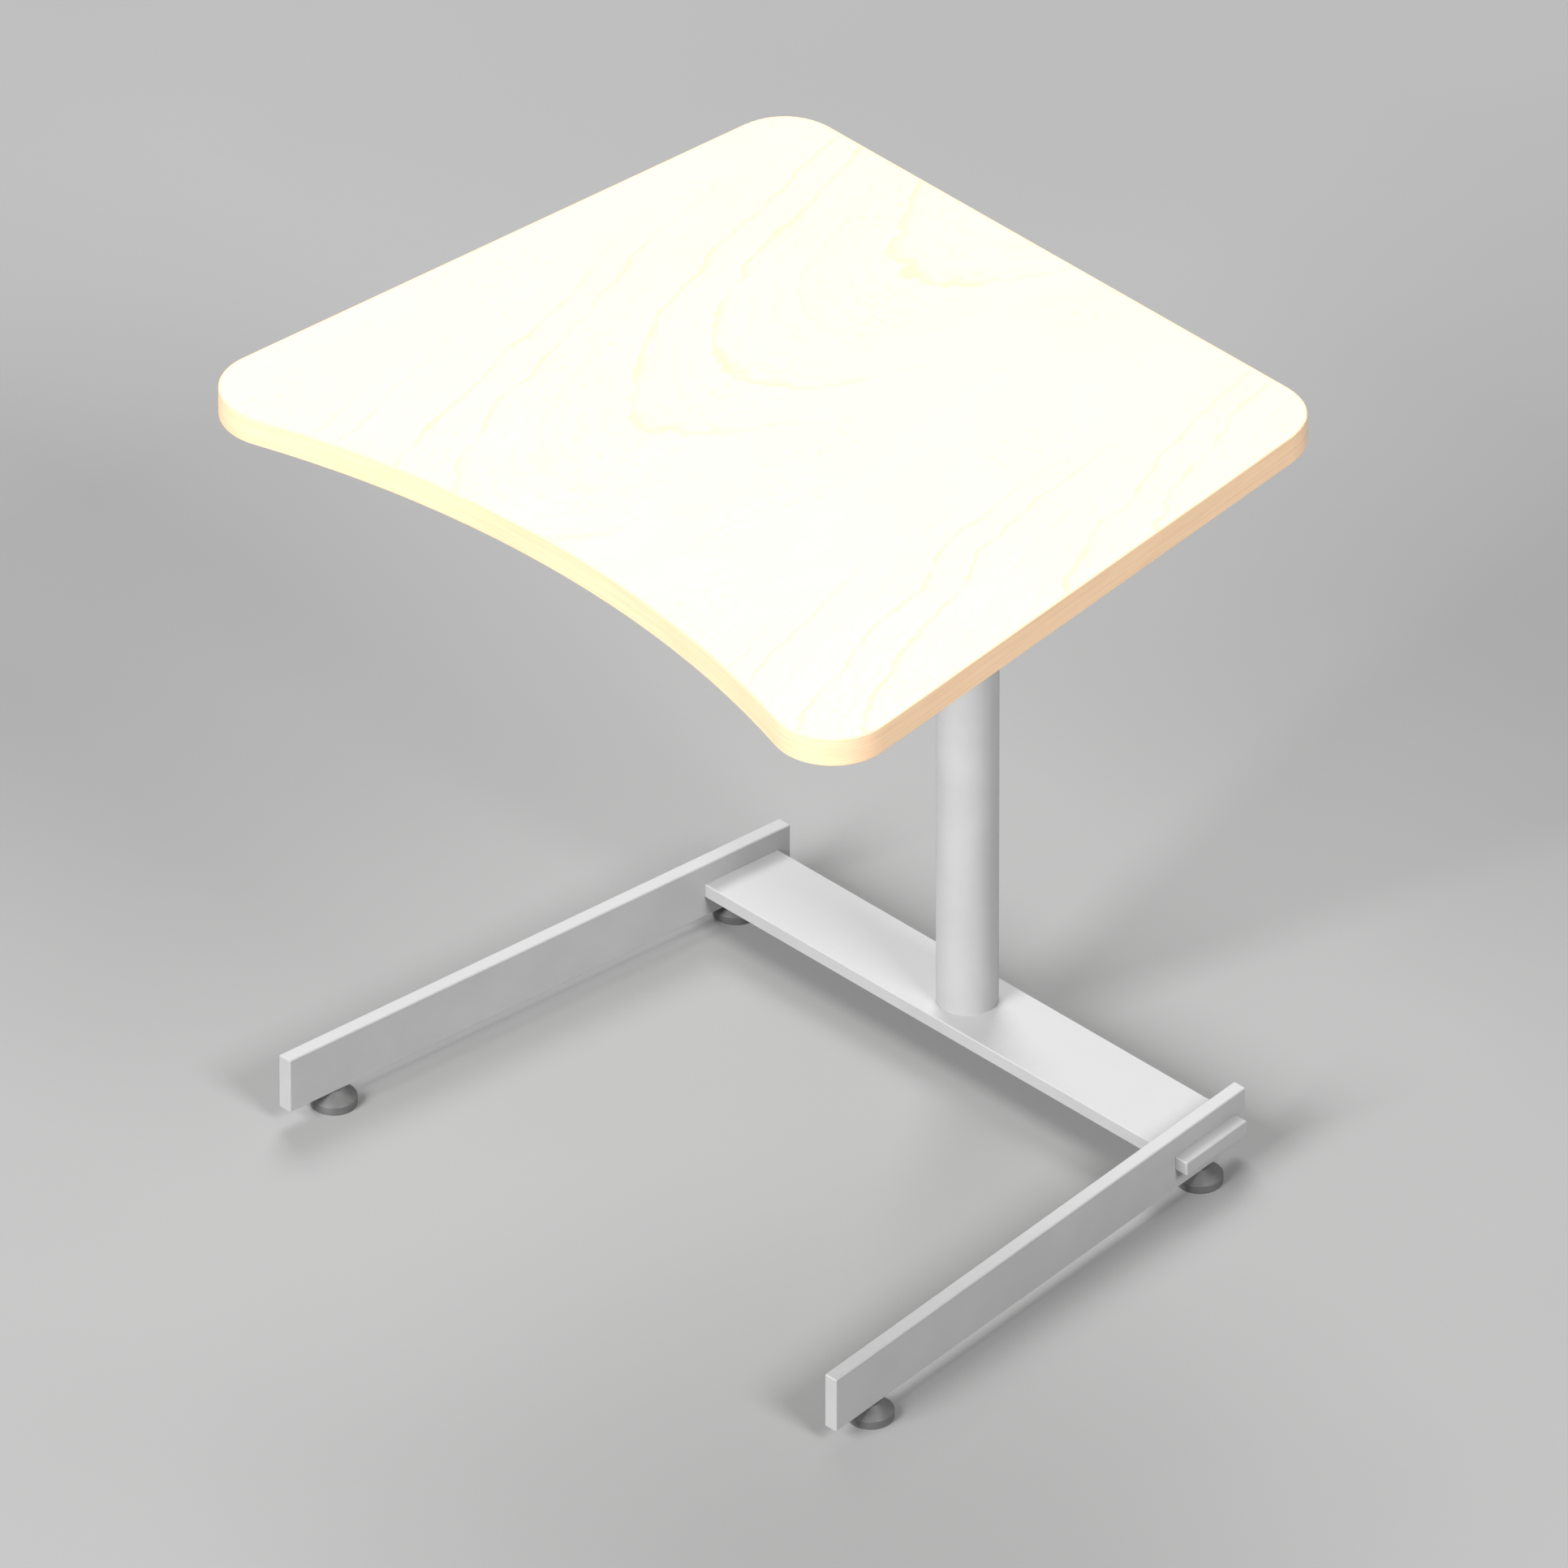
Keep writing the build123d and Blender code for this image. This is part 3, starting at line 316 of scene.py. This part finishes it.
def worn_edges(r, width):
    """1 along sharp edges, in patches, and 0 on flat faces."""
    rounded = r.add("Bevel", samples=4)
    r.feed(rounded.inputs["Radius"], width)
    dot = r.add("VectorMath", operation="DOT_PRODUCT")
    r.feed(dot.inputs[0], rounded.outputs[0])
    r.feed(dot.inputs[1], r.add("NewGeometry").outputs["Normal"])
    edge = r.span(dot.outputs["Value"], 0.90, 0.995, 1.0, 0.0)
    patch = r.span(r.noise(60.0, 3.0, 0.7), 0.42, 0.62, 0.0, 1.0)
    return r.math("MULTIPLY", edge, patch)


def chrome():
    """Polished tube with faint lengthwise rub marks."""
    r = Recipe("chrome")
    rub = r.noise((900.0, 900.0, 14.0), 2.0)
    return r.finish(
        Base_Color=grey(0.78, -0.01),
        Metallic=1.0,
        Roughness=r.span(rub, 0.35, 0.75, 0.07, 0.16),
        Normal=r.bump(rub, 0.000004),
    )


def bare_steel():
    """Turned and brushed steel with a dull oiled tone."""
    r = Recipe("bare_steel")
    brush = r.noise((120.0, 120.0, 1600.0), 3.0, 0.6)
    stain = r.noise(40.0, 3.0)
    tone = r.mix(r.span(stain, 0.35, 0.7, 0.0, 1.0), grey(0.52), grey(0.42, 0.02))
    return r.finish(
        Base_Color=tone,
        Metallic=1.0,
        Roughness=r.span(brush, 0.3, 0.7, 0.28, 0.42),
        Normal=r.bump(brush, 0.00002),
    )


def zinc():
    """Bright zinc plate, a little cloudy and bluish."""
    r = Recipe("zinc_plate")
    cloud = r.noise(220.0, 3.0)
    bluish, yellowish = (0.60, 0.62, 0.64, 1.0), (0.68, 0.67, 0.62, 1.0)
    tone = r.mix(r.span(cloud, 0.3, 0.7, 0.0, 1.0), bluish, yellowish)
    return r.finish(Base_Color=tone, Metallic=1.0, Roughness=r.span(cloud, 0.3, 0.7, 0.26, 0.40))


def gloss_black():
    """Black stoved paint on the gas spring."""
    r = Recipe("gloss_black_paint")
    peel = r.noise(300.0, 2.0)
    tone = r.mix(r.span(peel, 0.3, 0.7, 0.0, 1.0), grey(0.010), grey(0.018))
    return r.finish(Base_Color=tone, Roughness=0.22, Normal=r.bump(peel, 0.00002))


def moulded(name, level, grain, depth):
    """Moulded plastic with a fine spark-eroded texture, handled smoother in patches."""
    r = Recipe(name)
    skin = r.noise(grain, 2.0, 0.6)
    handled = r.noise(70.0, 3.0)
    tone = r.mix(r.span(handled, 0.35, 0.7, 0.0, 1.0), grey(level), grey(level * 1.25))
    return r.finish(
        Base_Color=tone,
        Roughness=r.span(handled, 0.35, 0.7, 0.42, 0.58),
        Normal=r.bump(skin, depth),
    )


def rubber():
    """Matt black rubber with a little dust on it."""
    r = Recipe("rubber")
    dust = r.noise(150.0, 4.0, 0.7)
    tone = r.mix(r.span(dust, 0.5, 0.8, 0.0, 0.6), grey(0.018), grey(0.06))
    return r.finish(Base_Color=tone, Roughness=0.85, Normal=r.bump(dust, 0.00005))


MATERIALS = {
    "wood_face": maple_face(),
    "wood_edge": maple_edge(),
    "board_core": raw_board(),
    "painted_steel": powder_coat(),
    "chrome_tube": chrome(),
    "bare_steel": bare_steel(),
    "zinc_screws": zinc(),
    "black_paint": gloss_black(),
    "black_plastic": moulded("black_plastic", 0.022, 1400.0, 0.00006),
    "glide_plastic": moulded("glide_plastic", 0.095, 1200.0, 0.00004),
    "rubber": rubber(),
}


def dress_cad_nodes():
    """Each CAD node takes the material of its slot."""
    for part in frame["record"]["subparts"]:
        mesh = nodes[part["node"]].data
        mesh.materials.clear()
        mesh.materials.append(MATERIALS[part["material_slot"]])


# ---- mesh helpers ----------------------------------------------------------------------------
def piece(name, points, faces, slot, body, stands_for=()):
    """A mesh piece, smooth but for its sharp edges, in its material and on its body."""
    mesh = bpy.data.meshes.new(name)
    mesh.from_pydata(points, [], faces)
    mesh.polygons.foreach_set("use_smooth", [True] * len(mesh.polygons))
    mesh.set_sharp_from_angle(angle=SHARP_ANGLE)
    mesh.materials.append(MATERIALS[slot])
    made = bpy.data.objects.new(name, mesh)
    bpy.context.scene.collection.objects.link(made)
    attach(made, body)
    if stands_for:
        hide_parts(*stands_for)


def ring_quads(rings, count, closed=False):
    """Quads between rings of count points each. When closed, the last ring joins the first."""
    faces = []
    for ring in range(rings if closed else rings - 1):
        here, after = ring * count, (ring + 1) % rings * count
        for step in range(count):
            beside = (step + 1) % count
            faces.append((here + step, here + beside, after + beside, after + step))
    return faces


def capped_tube(rings, count):
    """Quads between rings, and a flat face over the first ring and over the last."""
    faces = ring_quads(rings, count)
    faces.append(tuple(reversed(range(count))))
    faces.append(tuple(range((rings - 1) * count, rings * count)))
    return faces


def turned_over(faces):
    """The same faces, facing the other way."""
    return [tuple(reversed(face)) for face in faces]


def around(middle, turn, radius, height):
    """A point at a radius and a turn about a vertical line."""
    return middle.x + radius * math.cos(turn), middle.y + radius * math.sin(turn), height


def turned_points(rings, middle):
    """Points of rings about a vertical line. Each ring is a list of (radius, height) all the way round."""
    points = []
    for ring in rings:
        for step, (radius, height) in enumerate(ring):
            points.append(around(middle, 2 * math.pi * step / len(ring), radius, height))
    return points


def clamp(value):
    return min(1.0, max(0.0, value))


def rounded_corner(before, corner, after, radius):
    """Points of an arc that rounds one corner of a profile."""
    corner = Vector(corner)
    back = (Vector(before) - corner).normalized()
    ahead = (Vector(after) - corner).normalized()
    half = back.angle(ahead) / 2
    reach = radius / math.tan(half)
    centre = corner + (back + ahead).normalized() * (radius / math.sin(half))
    start = corner + back * reach - centre
    end = corner + ahead * reach - centre
    points = []
    for step in range(CORNER_STEPS + 1):
        along = start.lerp(end, step / CORNER_STEPS).normalized() * radius
        points.append(tuple(centre + along))
    return points


# ---- refined pieces --------------------------------------------------------------------------
def glide_pad(name):
    """Moulded glide: a shallow hollow in its sole, an eased rim, and a cone up to the rail."""
    node = "glide_pad_" + name
    low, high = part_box(node)
    radius = (high.x - low.x) / 2
    hollow_top = low.z + SOLE_HOLLOW
    socket_bottom = high.z - STEM_SOCKET
    corners = [
        (radius - SOLE_WIDTH, low.z),
        (radius, low.z),
        (radius, low.z + GLIDE_RIM),
        (GLIDE_NECK, high.z),
        (GLIDE_BORE, high.z),
    ]
    profile = [(CAP_RADIUS, hollow_top), (radius - SOLE_WIDTH - SOLE_BEVEL, hollow_top), corners[0]]
    for place, ease in enumerate(GLIDE_EASES):
        profile += rounded_corner(*corners[place:place + 3], ease)
    profile += [corners[-1], (GLIDE_BORE, socket_bottom), (CAP_RADIUS, socket_bottom)]
    points = turned_points([[point] * GLIDE_SEGMENTS for point in profile], (low + high) / 2)
    faces = capped_tube(len(profile), GLIDE_SEGMENTS)
    piece("glide_" + name, points, faces, "glide_plastic", "pad_" + name, [node])


def thread_ring(height, fade):
    """One ring of a helical thread. Its tooth comes round once in each pitch, and fades out at the ends."""
    ring = []
    for step in range(STEM_SEGMENTS):
        phase = (height / THREAD_PITCH - step / STEM_SEGMENTS) % 1.0
        tooth = clamp(TOOTH_RISE * (1 - abs(2 * phase - 1)) - TOOTH_ROOT)
        ring.append((THREAD_ROOT + (THREAD_CREST - THREAD_ROOT) * tooth * fade, height))
    return ring


def glide_stem(name):
    """Levelling screw with a real helical thread and its round head in the pad."""
    node = "glide_stem_" + name
    low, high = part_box(node)
    head_top = low.z + STEM_HEAD_TALL
    thread_long = high.z - head_top
    plain = [(STEM_HEAD_RADIUS, low.z), (STEM_HEAD_RADIUS, head_top), (THREAD_ROOT, head_top)]
    rings = [[point] * STEM_SEGMENTS for point in plain]
    steps = int(thread_long / THREAD_PITCH * RINGS_PER_TURN)
    for step in range(1, steps + 1):
        height = head_top + thread_long * step / steps
        fade = min(1.0, (high.z - height) / THREAD_PITCH, (height - head_top) / THREAD_PITCH)
        rings.append(thread_ring(height, fade))
    points = turned_points(rings, (low + high) / 2)
    faces = capped_tube(len(rings), STEM_SEGMENTS)
    piece("levelling_screw_" + name, points, faces, "zinc_screws", "stem_" + name, [node])


def squared(value):
    """A sine or cosine pushed outwards, so that a ring drawn with it is a rounded rectangle."""
    return math.copysign(abs(value) ** GRIP_SQUARENESS, value)


def grip_ease(part):
    """How much of its full size the grip has at this part of its length."""
    nose = max(0.0, (part - 1 + GRIP_NOSE) / GRIP_NOSE)
    mouth = max(0.0, (GRIP_MOUTH - part) / GRIP_MOUTH)
    rounding = math.sqrt(max(0.0, 1 - nose ** 2))
    return max(rounding * (1 - MOUTH_NARROWS * mouth ** 2), GRIP_TIP)


def release_grip():
    """Moulded handle with finger hollows underneath and a rounded end."""
    low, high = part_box("lever_grip")
    middle = (low + high) / 2
    half = (high - low) / 2
    points = []
    for ring in range(GRIP_RINGS + 1):
        part = ring / GRIP_RINGS
        ease = grip_ease(part)
        wave = 2 * math.pi * HOLLOWS * clamp((part - HOLLOWS_START) / HOLLOWS_LONG)
        hollow = HOLLOW_DEEP * (0.5 - 0.5 * math.cos(wave))
        for step in range(GRIP_SEGMENTS):
            turn = 2 * math.pi * step / GRIP_SEGMENTS
            side, up = squared(math.cos(turn)), squared(math.sin(turn))
            tall = half.z - (hollow if up < 0 else 0.0)
            y = middle.y + half.y * side * ease
            points.append((low.x + 2 * half.x * part, y, middle.z + tall * up * ease))
    faces = turned_over(capped_tube(GRIP_RINGS + 1, GRIP_SEGMENTS))
    piece("release_grip", points, faces, "black_plastic", "lever", ["lever_grip"])


def collar_weld():
    """Rippled weld bead where the collar meets the plate, under the board and its backing veneer."""
    plate_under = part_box("tabletop_core")[0].z - VENEER_THICKNESS - PLATE_THICKNESS
    points = []
    for step in range(WELD_STEPS):
        turn = 2 * math.pi * step / WELD_STEPS
        size = WELD_SIZE * (1 + RIPPLE_SIZE * math.sin(turn * WELD_RIPPLES))
        for corner in range(WELD_CORNERS):
            swing = math.pi / 2 * corner / (WELD_CORNERS - 1)
            out = size * (1 - math.sin(swing)) - WELD_SINK
            down = size * (1 - math.cos(swing)) - WELD_SINK
            points.append(around(COLUMN_MIDDLE, turn, COLLAR_RADIUS + out, plate_under - down))
    # Turned over, with each quad's first corner kept, since that corner decides how it splits.
    quads = ring_quads(WELD_STEPS, WELD_CORNERS, closed=True)
    faces = [(first, fourth, third, second) for first, second, third, fourth in quads]
    piece("collar_weld", points, faces, "painted_steel", "top")


# ---- stage -----------------------------------------------------------------------------------
def floor():
    """Pale plain floor."""
    mesh = bpy.data.meshes.new("floor")
    signs = ((-1, -1), (1, -1), (1, 1), (-1, 1))
    mesh.from_pydata([(x * FLOOR_HALF, y * FLOOR_HALF, 0) for x, y in signs], [], [(0, 1, 2, 3)])
    r = Recipe("studio_floor")
    cloud = r.noise(1.2, 3.0)
    tone = r.mix(r.span(cloud, 0.3, 0.7, 0.0, 1.0), grey(0.28), grey(0.295))
    mesh.materials.append(r.finish(Base_Color=tone, Roughness=0.9))
    made = bpy.data.objects.new("floor", mesh)
    bpy.context.scene.collection.objects.link(made)


def soft_light(name, azimuth, elevation, size, power):
    """A square soft light aimed at the table. Azimuth 0 is in front of it and 90 is on its right."""
    round_by, up_by = math.radians(azimuth), math.radians(elevation)
    away = Vector((
        math.sin(round_by) * math.cos(up_by),
        -math.cos(round_by) * math.cos(up_by),
        math.sin(up_by),
    ))
    data = bpy.data.lights.new(name, "AREA")
    data.shape = "SQUARE"
    data.size = size
    data.energy = power
    made = bpy.data.objects.new(name, data)
    made.location = LIGHT_AIM + away * LIGHT_DISTANCE
    made.rotation_euler = away.to_track_quat("Z", "Y").to_euler()
    bpy.context.scene.collection.objects.link(made)


def lights():
    """A low key from the front reaches in under the top; the others lift the top and the far sides."""
    soft_light("key", 0, 30, 6.2, 3050)
    soft_light("side_fill", 84, 38, 4.2, 1500)
    soft_light("back_fill", -130, 50, 6.2, 1200)
    world = bpy.data.worlds.new("studio")
    world.use_nodes = True
    background = world.node_tree.nodes["Background"]
    background.inputs["Color"].default_value = grey(1.0)
    background.inputs["Strength"].default_value = 0.20
    bpy.context.scene.world = world
    bpy.context.scene.view_settings.view_transform = "Standard"


def camera():
    """A very long lens far away, at the isometric angle: 45 degrees round, 35.26 degrees up."""
    towards = Vector((1.0, -1.0, 1.0)).normalized()
    data = bpy.data.cameras.new("camera")
    data.sensor_width = 36.0
    data.lens = data.sensor_width / 2 / math.tan(VIEW_HALF_ANGLE)
    data.clip_end = 500.0
    made = bpy.data.objects.new("camera", data)
    made.location = VIEW_TARGET + towards * (VIEW_WIDTH / 2 / math.tan(VIEW_HALF_ANGLE))
    made.rotation_euler = towards.to_track_quat("Z", "Y").to_euler()
    bpy.context.scene.collection.objects.link(made)
    bpy.context.scene.camera = made


# ---- put it together -------------------------------------------------------------------------
camera()
lights()
floor()
dress_cad_nodes()
for corner in ("front_left", "front_right", "rear_left", "rear_right"):
    glide_pad(corner)
    glide_stem(corner)
release_grip()
collar_weld()
